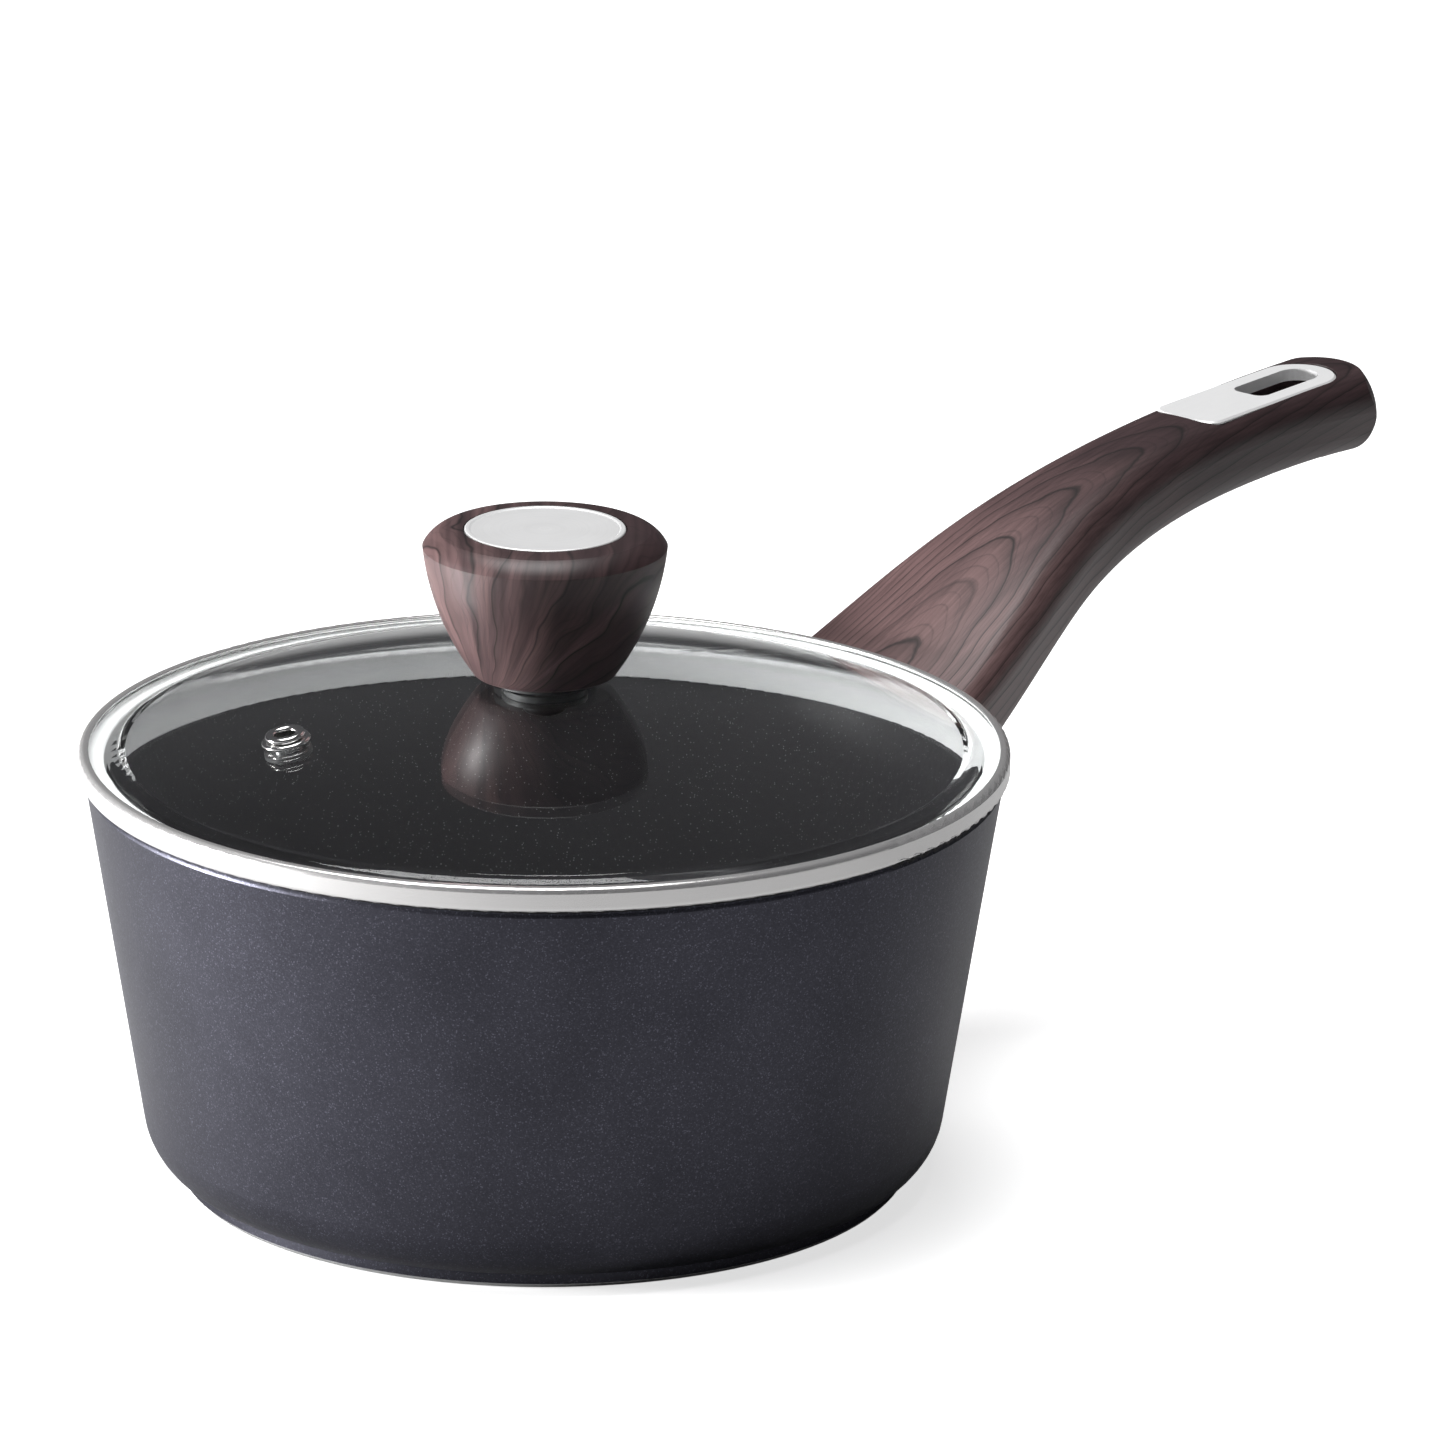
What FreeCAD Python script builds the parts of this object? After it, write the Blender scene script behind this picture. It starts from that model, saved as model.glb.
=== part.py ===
import FreeCAD, Part
import math
import os

import Sketcher

# Saucepan, 20 cm, with a loose glass lid. Millimetres, +Z up.
# The origin is the centre of the base on the plane the pan stands on; the handle runs along +X.

doc = FreeCAD.newDocument("saucepan")
sheet = doc.addObject("Spreadsheet::Sheet", "dims")

DIMENSIONS = {
    # pan body
    "foot_radius": 81.6,
    "foot_height": 4.0,
    "foot_chamfer": 0.9,
    "floor_under": 1.4,
    "floor_top": 5.5,
    "wall_taper": 0.1588,
    "wall_thickness": 2.9,
    "outer_corner": 14.4,
    "inner_corner": 12.0,
    "lip_centre_height": 91.5,
    "lip_outer_radius": 102.0,
    # disc pressed into the underside
    "disc_radius": 71.0,
    "disc_recess": 0.65,
    "disc_thickness": 0.6,
    "disc_gap": 0.1,
    "disc_hole": 2.1,
    "disc_ring_pitch": 14.0,
    "disc_rings": 4,
    "disc_holes_each": 8,
    # lid band and glass
    "band_radius": 103.5,
    "band_top": 98.7,
    "band_sheet": 0.6,
    "band_top_roll": 1.3,
    "band_top_inner": 101.2,
    "band_seat_height": 93.15,
    "skirt_radius": 97.6,
    "skirt_bottom": 85.2,
    "skirt_hem": 0.3,
    "skirt_bend": 1.0,
    "band_corner": 1.2,
    "glass_radius": 102.4,
    "glass_thickness": 4.0,
    "glass_edge_bottom": 93.85,
    "dome_start": 96.2,
    "dome_radius": 315.0,
    "dome_top": 113.4,
    "knob_hole": 3.6,
    "glass_edge_round": 1.2,
    "dome_bend": 8.0,
    "dome_bend_outside": 2.2,
    "dome_bend_inside": 1.6,
    "under_bend_outside": 0.6,
    "under_bend_inside": 4.0,
    "seal_thickness": 0.4,
    "seal_gap": 0.02,
    "seal_inset": 0.1,
    # steam vent
    "vent_distance": 62.7,
    "vent_azimuth": 158.0,
    "vent_hole": 3.3,
    "eyelet_bore": 2.4,
    "eyelet_tube": 3.1,
    "eyelet_flange": 4.5,
    "eyelet_height": 2.7,
    "vent_washer_radius": 5.5,
    "vent_washer_height": 1.2,
    "vent_gasket_thickness": 1.0,
    "vent_fit": 0.1,
    "eyelet_foot": 0.6,
    "eyelet_foot_inset": 0.2,
    "eyelet_lip": 0.8,
    # knob and its fastening
    "knob_radius": 27.15,
    "knob_bottom": 115.2,
    "knob_top": 148.4,
    "knob_shoulder": 144.5,
    "knob_heel_radius": 16.3,
    "knob_heel_height": 116.1,
    "knob_foot_radius": 15.2,
    "knob_rim_radius": 23.4,
    "knob_rim_height": 147.9,
    "knob_foot_curve": 1.6,
    "knob_side_curve": 60.0,
    "knob_shoulder_curve": 7.5,
    "knob_top_curve": 22.0,
    "cap_radius": 17.9,
    "cap_thickness": 1.7,
    "cap_proud": 0.15,
    "cap_gap": 0.3,
    "cap_edge": 0.4,
    "cap_rim": 1.0,
    "cap_sunk": 0.2,
    "knob_fit": 0.05,
    "bush_radius": 4.6,
    "bush_top": 131.0,
    "knob_screw_radius": 2.5,
    "knob_screw_top": 127.0,
    "knob_screw_head": 5.0,
    "knob_screw_head_height": 3.0,
    "knob_screw_round": 1.4,
    "knob_screw_arc": 1.6,
    "knob_recess_length": 4.8,
    "knob_recess_width": 1.0,
    "seat_radius": 11.5,
    "washer_radius": 9.5,
    "washer_thickness": 1.0,
    "gasket_thickness": 1.2,
    "gasket_inset": 0.5,
    "clamp_bore_gap": 0.3,
    "clamp_gap": 0.3,
    "face_gap": 0.02,
    # handle: control points of its top line, from the wall to the tip
    "line_root_along": 98.0,
    "line_root_up": 87.3,
    "line_rise_along": 153.4,
    "line_rise_up": 108.8,
    "line_level_along": 162.4,
    "line_level_up": 132.8,
    "line_tip_along": 286.5,
    "line_tip_up": 130.1,
    # handle: section sizes, blended by the same cubic as the top line
    "half_width_root": 29.1,
    "half_width_rise": 27.1,
    "half_width_level": 5.1,
    "half_width_tip": 15.4,
    "depth_root": 48.0,
    "depth_rise": 32.0,
    "depth_level": 19.6,
    "depth_tip": 22.4,
    "edge_root": 4.5,
    "edge_rise": 9.0,
    "edge_level": 7.0,
    "edge_tip": 6.0,
    "crown_root": 90.0,
    "crown_rise": 80.0,
    "crown_level": 80.0,
    "crown_tip": 80.0,
    "keel_root": 22.0,
    "keel_rise": 21.0,
    "keel_level": 9.0,
    "keel_tip": 12.0,
    "upright_share": 0.4,
    "tip_round": 13.0,
    "tip_allowance": 1.0,
    "nose_radius": 17.0,
    "nose_axis_up": 119.15,
    "root_gap": 3.7,
    "trim_top": 160.0,
    "trim_reach": 140.0,
    # spacer and bracket between the wall and the handle
    "guard_gap": 0.1,
    "guard_half_width": 26.5,
    "guard_bottom": 43.0,
    "guard_top": 87.6,
    "guard_corner": 8.0,
    "guard_top_corner": 3.0,
    "guard_taper": 4.0,
    "guard_start": 88.0,
    "guard_block": 24.0,
    "boss_half_width": 15.0,
    "boss_bottom": 52.0,
    "boss_top": 79.0,
    "boss_start": 90.0,
    "boss_end": 110.0,
    "boss_rise": 6.0,
    "bracket_gap": 0.05,
    "tongue_tilt": 24.0,
    "tongue_along": 101.0,
    "tongue_up": 66.5,
    "tongue_length": 38.0,
    "tongue_half_width": 10.0,
    "tongue_half_thickness": 5.0,
    "tongue_end_gap": 2.0,
    "fit_gap": 0.3,
    # screw that holds the handle on the tongue
    "screw_along": 26.0,
    "screw_shank": 2.9,
    "screw_head": 4.8,
    "screw_head_height": 3.2,
    "screw_seat": 8.0,
    "screw_well": 6.2,
    "screw_reach": 60.0,
    "screw_point": 0.8,
    "screw_edge": 1.0,
    "recess_depth": 1.6,
    "screw_recess_length": 5.4,
    "screw_recess_width": 1.1,
    "thread_gap": 0.05,
    "washer_gap": 0.2,
    "stack_gap": 0.05,
    "split_half_gap": 0.4,
    "grip_washer_radius": 5.6,
    "grip_washer_thickness": 1.0,
    "spring_washer_radius": 4.9,
    "spring_washer_thickness": 1.5,
    # metal inlay with the hanging slot
    "plate_along": 222.0,
    "plate_up": 128.35,
    "plate_tilt": 1.8,
    "plate_length": 53.0,
    "plate_half_width": 9.5,
    "plate_thickness": 1.3,
    "plate_corner": 4.5,
    "plate_gap": 0.25,
    "plate_chamfer": 0.45,
    "plate_lift": 0.05,
    "plate_headroom": 12.0,
    "slot_below": 30.0,
    "slot_cut": 42.0,
    "slot_start": 24.4,
    "slot_length": 24.4,
    "slot_half_width": 5.0,
    "slot_corner": 2.8,
    "slot_lip": 0.9,
    "slot_lip_depth": 1.6,
}


def fill_sheet():
    """Write each driving dimension into column B of the sheet and name the cell."""
    for row, (name, value) in enumerate(DIMENSIONS.items(), start=1):
        sheet.set("A%d" % row, name)
        sheet.set("B%d" % row, str(value))
        sheet.setAlias("B%d" % row, name)
    doc.recompute()


fill_sheet()


def number(expression):
    """The plain number that an expression over the sheet gives."""
    value = sheet.evalExpression(expression)
    return float(getattr(value, "Value", value))


# ---------------------------------------------------------------- sketch helpers

def origin_plane(body, role):
    for feature in body.Origin.OriginFeatures:
        if feature.Role == role:
            return feature
    raise ValueError(role)


def new_body(name):
    body = doc.addObject("PartDesign::Body", name)
    body.Label = name
    return body


def new_sketch(body, name, role):
    sketch = body.newObject("Sketcher::SketchObject", name)
    sketch.AttachmentSupport = [(origin_plane(body, role), "")]
    sketch.MapMode = "FlatFace"
    return sketch


def tilt_frame(sketch, along, up, angle):
    """Put a sketch from the XY plane at (along, 0, up), pitched up by the angle."""
    sketch.AttachmentOffset = FreeCAD.Placement(
        FreeCAD.Vector(0, 0, 0), FreeCAD.Rotation(FreeCAD.Vector(0, 1, 0), 10)
    )
    sketch.setExpression("AttachmentOffset.Base.x", along)
    sketch.setExpression("AttachmentOffset.Base.z", up)
    sketch.setExpression("AttachmentOffset.Rotation.Angle", "-1deg * (%s)" % angle)


def bind(sketch, constraint, expression):
    """Add a dimension to the sketch and tie it to the sheet."""
    index = sketch.addConstraint(constraint)
    sketch.setExpression("Constraints[%d]" % index, expression)


def bind_point(sketch, curve, end, across, up):
    """Tie one end of a curve to a place; a coordinate of "0" lies on the axis."""
    if across == "0":
        sketch.addConstraint(Sketcher.Constraint("PointOnObject", curve, end, -2))
    else:
        dimension = Sketcher.Constraint("DistanceX", -1, 1, curve, end, number(across))
        bind(sketch, dimension, across)
    if up == "0":
        sketch.addConstraint(Sketcher.Constraint("PointOnObject", curve, end, -1))
    else:
        dimension = Sketcher.Constraint("DistanceY", -1, 1, curve, end, number(up))
        bind(sketch, dimension, up)


def arc_between(start, end, radius, turn):
    """The arc from start to end; turn is "left" or "right" of the way it goes."""
    chord = end - start
    half = chord.Length / 2.0
    height = math.sqrt(max(radius * radius - half * half, 0.0))
    side = FreeCAD.Vector(-chord.y, chord.x, 0).normalize()
    if turn == "right":
        side = side * -1
    centre = (start + end) * 0.5 + side * height
    first = math.atan2(start.y - centre.y, start.x - centre.x)
    last = math.atan2(end.y - centre.y, end.x - centre.x)
    if turn == "right":
        first, last = last, first
    circle = Part.Circle(centre, FreeCAD.Vector(0, 0, 1), radius)
    return Part.ArcOfCircle(circle, first, last)


def outline(sketch, corners):
    """A closed outline. A corner is (x, y), or (x, y, radius, turn) where an arc leaves it."""
    points = [FreeCAD.Vector(number(c[0]), number(c[1]), 0) for c in corners]
    curves = []
    for index, corner in enumerate(corners):
        start = points[index]
        end = points[(index + 1) % len(points)]
        if len(corner) == 4:
            shape = arc_between(start, end, number(corner[2]), corner[3])
            ends = (1, 2) if corner[3] == "left" else (2, 1)
        else:
            shape = Part.LineSegment(start, end)
            ends = (1, 2)
        curves.append((sketch.addGeometry(shape, False), ends))
    for index, corner in enumerate(corners):
        curve, ends = curves[index]
        following, next_ends = curves[(index + 1) % len(curves)]
        sketch.addConstraint(
            Sketcher.Constraint("Coincident", curve, ends[1], following, next_ends[0])
        )
        bind_point(sketch, curve, ends[0], corner[0], corner[1])
        if len(corner) == 4:
            bind(sketch, Sketcher.Constraint("Radius", curve, number(corner[2])), corner[2])


def circle(sketch, across, up, radius):
    centre = FreeCAD.Vector(number(across), number(up), 0)
    shape = Part.Circle(centre, FreeCAD.Vector(0, 0, 1), number(radius))
    curve = sketch.addGeometry(shape, False)
    if across == "0" and up == "0":
        sketch.addConstraint(Sketcher.Constraint("Coincident", curve, 3, -1, 1))
    else:
        bind_point(sketch, curve, 3, across, up)
    bind(sketch, Sketcher.Constraint("Radius", curve, number(radius)), radius)


def revolve(body, name, corners):
    """A full turn about Z of an outline in (radius, height)."""
    sketch = new_sketch(body, name + "_profile", "XZ_Plane")
    outline(sketch, corners)
    feature = body.newObject("PartDesign::Revolution", name)
    feature.Profile = sketch
    feature.ReferenceAxis = (sketch, ["V_Axis"])
    feature.Angle = 360.0
    doc.recompute()
    return feature


def cut_turned(body, name, corners):
    """A full-turn cut about Z of an outline in (radius, height)."""
    sketch = new_sketch(body, name + "_profile", "XZ_Plane")
    outline(sketch, corners)
    before = body.Shape.Volume
    feature = body.newObject("PartDesign::Groove", name)
    feature.Profile = sketch
    feature.ReferenceAxis = (sketch, ["V_Axis"])
    feature.Angle = 360.0
    doc.recompute()
    check_cut(body, name, before)
    return feature


def check_cut(body, name, before):
    """A cut that removes nothing raises no error by itself."""
    if body.Shape.Volume > before - 0.5:
        raise RuntimeError("the cut %s removed nothing" % name)


def pad(body, name, sketch, length, both_ways=False, backwards=False):
    feature = body.newObject("PartDesign::Pad", name)
    feature.Profile = sketch
    feature.setExpression("Length", length)
    feature.Midplane = both_ways
    feature.Reversed = backwards
    doc.recompute()
    return feature


def pocket(body, name, sketch, length=None, both_ways=False, backwards=False):
    before = body.Shape.Volume
    feature = body.newObject("PartDesign::Pocket", name)
    feature.Profile = sketch
    feature.Midplane = both_ways
    feature.Reversed = backwards
    if length is None:
        feature.Type = "ThroughAll"
    else:
        feature.setExpression("Length", length)
    doc.recompute()
    check_cut(body, name, before)
    return feature


# ---------------------------------------------------------------- shared formulas

SLANT = "sqrt(1 + dims.wall_taper * dims.wall_taper)"


def wall_radius(height, inset="0"):
    """Radius of the flared wall's outside at a height, less an inset."""
    return "dims.lip_outer_radius - dims.wall_taper * (dims.lip_centre_height - (%s)) - (%s)" % (
        height, inset
    )


def within_wall(inset):
    """Section of the space inside the flared wall's outside, carried up past the lip."""
    return [
        ("0", "0"),
        (wall_radius("0", inset), "0"),
        (wall_radius("dims.trim_top", inset), "dims.trim_top"),
        ("0", "dims.trim_top"),
    ]


def corner_arc(floor, corner, inset):
    """Centre and wall contact of the arc that joins a flat floor to the flared wall."""
    centre_up = "(%s + %s)" % (floor, corner)
    centre_out = "(%s - %s * %s)" % (wall_radius(centre_up, inset), corner, SLANT)
    contact_out = "%s + %s / %s" % (centre_out, corner, SLANT)
    contact_up = "%s - %s * dims.wall_taper / %s" % (centre_up, corner, SLANT)
    return centre_out, centre_up, contact_out, contact_up


def dome_height(radius, drop="0"):
    """Height of the glass dome's outside at a radius, less a drop."""
    return (
        "dims.dome_top - dims.dome_radius"
        " + sqrt((dims.dome_radius - (%s)) ^ 2 - (%s) ^ 2)" % (drop, radius)
    )


# ---------------------------------------------------------------- pan

def make_pan_shell():
    """Pressed aluminium body: foot ring, round corner, flared wall, rolled lip."""
    body = new_body("pan_shell")
    out_c, out_up, out_contact, out_contact_up = corner_arc(
        "dims.floor_under", "dims.outer_corner", "0"
    )
    in_c, in_up, in_contact, in_contact_up = corner_arc(
        "dims.floor_top", "dims.inner_corner", "dims.wall_thickness"
    )
    step_out = "%s + sqrt(dims.outer_corner ^ 2 - (%s - dims.foot_height) ^ 2)" % (out_c, out_up)
    recess_edge = "dims.disc_radius + dims.disc_gap"
    revolve(body, "pan_turned", [
        ("0", "dims.disc_recess"),
        (recess_edge, "dims.disc_recess"),
        (recess_edge, "0"),
        ("dims.foot_radius - dims.foot_chamfer", "0"),
        ("dims.foot_radius", "dims.foot_chamfer"),
        ("dims.foot_radius", "dims.foot_height"),
        (step_out, "dims.foot_height", "dims.outer_corner", "left"),
        (out_contact, out_contact_up),
        ("dims.lip_outer_radius", "dims.lip_centre_height", "dims.wall_thickness / 2", "left"),
        ("dims.lip_outer_radius - dims.wall_thickness / 2",
         "dims.lip_centre_height + dims.wall_thickness / 2", "dims.wall_thickness / 2", "left"),
        ("dims.lip_outer_radius - dims.wall_thickness", "dims.lip_centre_height"),
        (in_contact, in_contact_up, "dims.inner_corner", "right"),
        (in_c, "dims.floor_top"),
        ("0", "dims.floor_top"),
    ])
    return body


def make_induction_disc():
    """Perforated steel disc pressed into the underside."""
    body = new_body("induction_disc")
    sketch = new_sketch(body, "disc_outline", "XY_Plane")
    circle(sketch, "0", "0", "dims.disc_radius")
    pad(body, "disc_plate", sketch, "dims.disc_thickness")
    for ring in range(1, DIMENSIONS["disc_rings"] + 1):
        holes = new_sketch(body, "ring_%d_hole" % ring, "XY_Plane")
        circle(holes, "%d * dims.disc_ring_pitch" % ring, "0", "dims.disc_hole")
        first = pocket(body, "ring_%d_first" % ring, holes, None, False, True)
        pattern = body.newObject("PartDesign::PolarPattern", "ring_%d" % ring)
        pattern.Originals = [first]
        pattern.Axis = (holes, ["N_Axis"])
        pattern.Angle = 360.0
        pattern.setExpression("Occurrences", "%d * dims.disc_holes_each" % ring)
        body.Tip = pattern
        doc.recompute()
    return body


# ---------------------------------------------------------------- handle

STATIONS = ("root", "rise", "level", "tip")


def cubic(pattern, fraction):
    """Cubic blend of the four values that a name pattern gives at the stations."""
    rest = 1.0 - fraction
    weights = (rest ** 3, 3 * rest ** 2 * fraction, 3 * rest * fraction ** 2, fraction ** 3)
    terms = ["%.6f * dims.%s" % (w, pattern % n) for w, n in zip(weights, STATIONS)]
    return "(%s)" % " + ".join(terms)


def between(name, fraction):
    """A section size part of the way along the handle."""
    return cubic(name + "_%s", fraction)


def top_line(direction, fraction):
    """Place on the handle's top line, a curve in the plane of symmetry."""
    return cubic("line_%s_" + direction, fraction)


def top_line_step(direction, fraction):
    """Direction of the top line: the derivative of that cubic."""
    rest = 1.0 - fraction
    weights = (rest ** 2, 2 * rest * fraction, fraction ** 2)
    terms = []
    for index, weight in enumerate(weights):
        pair = (weight, STATIONS[index + 1], direction, STATIONS[index], direction)
        terms.append("%.6f * (dims.line_%s_%s - dims.line_%s_%s)" % pair)
    return " + ".join(terms)


def grip_section(body, name, fraction):
    """Rounded section of the handle: crowned top, edge radii, sloping sides, round keel.

    The sketch's own origin is the top of the section. It stands upright at the wall and leans
    back, over the first part of the handle, until it is square to the top line.
    """
    sketch = new_sketch(body, name, "YZ_Plane")
    sketch.AttachmentOffset = FreeCAD.Placement(
        FreeCAD.Vector(0, 0, 0), FreeCAD.Rotation(FreeCAD.Vector(1, 0, 0), 10)
    )
    sketch.setExpression("AttachmentOffset.Base.y", top_line("up", fraction))
    sketch.setExpression("AttachmentOffset.Base.z", top_line("along", fraction))
    slope = "atan2(%s; %s)" % (top_line_step("up", fraction), top_line_step("along", fraction))
    lean = "min(1; %.6f / dims.upright_share)" % fraction
    sketch.setExpression("AttachmentOffset.Rotation.Angle", "-1 * %s * %s" % (lean, slope))

    edge = between("edge", fraction)
    crown = between("crown", fraction)
    keel = between("keel", fraction)
    edge_out = "(%s - %s)" % (between("half_width", fraction), edge)
    edge_down = "(%s - sqrt((%s - %s) ^ 2 - %s ^ 2))" % (crown, crown, edge, edge_out)
    keel_down = "(%s - %s)" % (between("depth", fraction), keel)

    crown_centre = FreeCAD.Vector(0, -number(crown), 0)
    keel_centre = FreeCAD.Vector(0, -number(keel_down), 0)
    corner = FreeCAD.Vector(number(edge_out), -number(edge_down), 0)
    corner_size, keel_size, crown_size = number(edge), number(keel), number(crown)

    # the sloping side touches the edge radius and the keel radius from outside
    link = keel_centre - corner
    lean = math.acos((corner_size - keel_size) / link.Length)
    side_normal = math.atan2(link.y, link.x) + lean
    out = FreeCAD.Vector(math.cos(side_normal), math.sin(side_normal), 0)
    up_out = (corner - crown_centre).normalize()
    rise = math.atan2(up_out.y, up_out.x)
    side = math.atan2(out.y, out.x)
    normal = FreeCAD.Vector(0, 0, 1)

    def mirror(point):
        return FreeCAD.Vector(-point.x, point.y, 0)

    def arc(centre, radius, first, last):
        return Part.ArcOfCircle(Part.Circle(centre, normal, radius), first, last)

    right_high = corner + out * corner_size
    right_low = keel_centre + out * keel_size
    top = sketch.addGeometry(arc(crown_centre, crown_size, rise, math.pi - rise), False)
    left = sketch.addGeometry(
        arc(mirror(corner), corner_size, math.pi - rise, math.pi - side), False
    )
    left_side = sketch.addGeometry(Part.LineSegment(mirror(right_high), mirror(right_low)), False)
    bottom = sketch.addGeometry(arc(keel_centre, keel_size, math.pi - side, side), False)
    right_side = sketch.addGeometry(Part.LineSegment(right_low, right_high), False)
    right = sketch.addGeometry(arc(corner, corner_size, side, rise), False)
    ring = [top, left, left_side, bottom, right_side, right]
    for index, curve in enumerate(ring):
        following = ring[(index + 1) % len(ring)]
        sketch.addConstraint(Sketcher.Constraint("Tangent", curve, 2, following, 1))
    bind_point(sketch, right, 3, edge_out, "-" + edge_down)
    bind_point(sketch, left, 3, "-" + edge_out, "-" + edge_down)
    bind_point(sketch, bottom, 3, "0", "-" + keel_down)
    for curve, size in ((right, edge), (left, edge), (bottom, keel), (top, crown)):
        bind(sketch, Sketcher.Constraint("Radius", curve, number(size)), size)
    return sketch


SPANS = 8


def make_handle_grip():
    """Moulded handle, hollowed for the bracket's tongue and slotted for hanging."""
    body = new_body("handle_grip")
    sketches = []
    for index in range(SPANS + 1):
        sketches.append(grip_section(body, "grip_section_%d" % index, index / SPANS))
    doc.recompute()
    loft = body.newObject("PartDesign::AdditiveLoft", "grip_loft")
    loft.Profile = sketches[0]
    loft.Sections = sketches[1:]
    doc.recompute()

    # root face follows the wall, a spacer's thickness away from it
    cut_turned(body, "root_trim", within_wall("-dims.root_gap"))

    # rounded tip, seen from above
    tip = new_sketch(body, "tip_outline", "XY_Plane")
    end = "dims.line_tip_along + dims.tip_allowance"
    half = "dims.half_width_tip + dims.tip_allowance"
    beyond = "(dims.line_tip_along + dims.tip_round)"
    aside = "(2 * dims.half_width_tip)"
    outline(tip, [
        (end + " - dims.tip_round", "-(%s)" % half, "dims.tip_round", "left"),
        (end, "dims.tip_round - (%s)" % half),
        (end, "%s - dims.tip_round" % half, "dims.tip_round", "left"),
        (end + " - dims.tip_round", half),
        (end + " - dims.tip_round", aside),
        (beyond, aside),
        (beyond, "-" + aside),
        (end + " - dims.tip_round", "-" + aside),
    ])
    pocket(body, "tip_trim", tip, None, False, True)

    # round nose: what lies outside a ball about the axis through the tip's middle
    nose = new_sketch(body, "nose_profile", "XZ_Plane")
    nose.setExpression("AttachmentOffset.Base.y", "dims.nose_axis_up")
    nose_end = "dims.line_tip_along"
    nose_start = "(dims.line_tip_along - dims.nose_radius)"
    nose_out = "(2 * dims.nose_radius)"
    outline(nose, [
        (nose_end, "0", "dims.nose_radius", "left"),
        (nose_start, "dims.nose_radius"),
        (nose_start, nose_out),
        (beyond, nose_out),
        (beyond, "0"),
    ])
    before = body.Shape.Volume
    groove = body.newObject("PartDesign::Groove", "nose_trim")
    groove.Profile = nose
    groove.ReferenceAxis = (nose, ["H_Axis"])
    groove.Angle = 360.0
    doc.recompute()
    check_cut(body, "nose_trim", before)

    # seat of the metal inlay and the slot under it
    seat = new_sketch(body, "inlay_seat", "XY_Plane")
    plate_frame(seat, "-dims.plate_thickness")
    plate_outline(seat, "dims.plate_gap")
    pocket(body, "inlay_pocket", seat, "dims.plate_headroom", False, True)
    slot = new_sketch(body, "slot_outline", "XY_Plane")
    plate_frame(slot, "-dims.slot_below")
    slot_outline(slot, "-dims.slot_lip - dims.plate_gap")
    pocket(body, "slot_cut", slot, "dims.slot_cut", False, True)

    # cavity for the bracket's boss and tongue
    boss = new_sketch(body, "boss_cavity_side", "XZ_Plane")
    outline(boss, boss_corners("dims.fit_gap"))
    pocket(body, "boss_cavity", boss, "2 * (dims.boss_half_width + dims.fit_gap)", True)
    tongue = new_sketch(body, "tongue_cavity_side", "XY_Plane")
    tongue_frame(tongue, "0")
    outline(tongue, tongue_corners("dims.fit_gap", "dims.tongue_end_gap"))
    pocket(body, "tongue_cavity", tongue,
           "2 * (dims.tongue_half_thickness + dims.fit_gap)", True)

    # screw hole from below, with a well for the head
    hole = new_sketch(body, "screw_hole_outline", "XY_Plane")
    tongue_frame(hole, "0")
    circle(hole, "dims.screw_along", "0", "dims.screw_shank + dims.fit_gap")
    pocket(body, "screw_hole", hole, "dims.screw_reach")
    well = new_sketch(body, "screw_well_outline", "XY_Plane")
    tongue_frame(well, "-dims.screw_seat")
    circle(well, "dims.screw_along", "0", "dims.screw_well")
    pocket(body, "screw_well_cut", well, "dims.screw_reach")
    return body


def pitched_frame(sketch, name, lift):
    """A frame that starts at a named place and is pitched up by its named tilt.

    X runs along the piece and Z square to it; the lift moves the sketch along that Z.
    """
    tilt_frame(
        sketch,
        "dims.{0}_along - ({1}) * sin(dims.{0}_tilt * 1deg)".format(name, lift),
        "dims.{0}_up + ({1}) * cos(dims.{0}_tilt * 1deg)".format(name, lift),
        "dims.%s_tilt" % name,
    )


def tongue_frame(sketch, lift):
    pitched_frame(sketch, "tongue", lift)


def plate_frame(sketch, lift):
    pitched_frame(sketch, "plate", lift)


def boss_corners(gap):
    """Side view of the bracket's boss, which starts inside the wall's outline."""
    return [
        ("dims.boss_start", "dims.boss_bottom - %s" % gap),
        ("dims.boss_end + %s" % gap, "dims.boss_bottom + dims.boss_rise - %s" % gap),
        ("dims.boss_end + %s" % gap, "dims.boss_top + %s" % gap),
        ("dims.boss_start", "dims.boss_top + %s" % gap),
    ]


def tongue_corners(gap, extra="0"):
    """Plan view of the tongue in its own frame."""
    end = "dims.tongue_length + %s" % extra
    half = "(dims.tongue_half_width + %s)" % gap
    return [
        ("0", "-" + half),
        (end, "-" + half),
        (end, half),
        ("0", half),
    ]


def make_handle_bracket():
    """Cast bracket on the wall: a boss with a tongue that carries the handle."""
    body = new_body("handle_bracket")
    side = new_sketch(body, "boss_side", "XZ_Plane")
    outline(side, boss_corners("0"))
    pad(body, "boss", side, "2 * dims.boss_half_width", True)
    plan = new_sketch(body, "tongue_plan", "XY_Plane")
    tongue_frame(plan, "0")
    outline(plan, tongue_corners("0"))
    pad(body, "tongue", plan, "2 * dims.tongue_half_thickness", True)
    hole = new_sketch(body, "tapped_hole", "XY_Plane")
    tongue_frame(hole, "0")
    circle(hole, "dims.screw_along", "0", "dims.screw_shank + dims.thread_gap")
    pocket(body, "tapped_hole_cut", hole, "dims.screw_reach", True)
    cut_turned(body, "wall_fit", within_wall("-dims.bracket_gap"))
    return body


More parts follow.
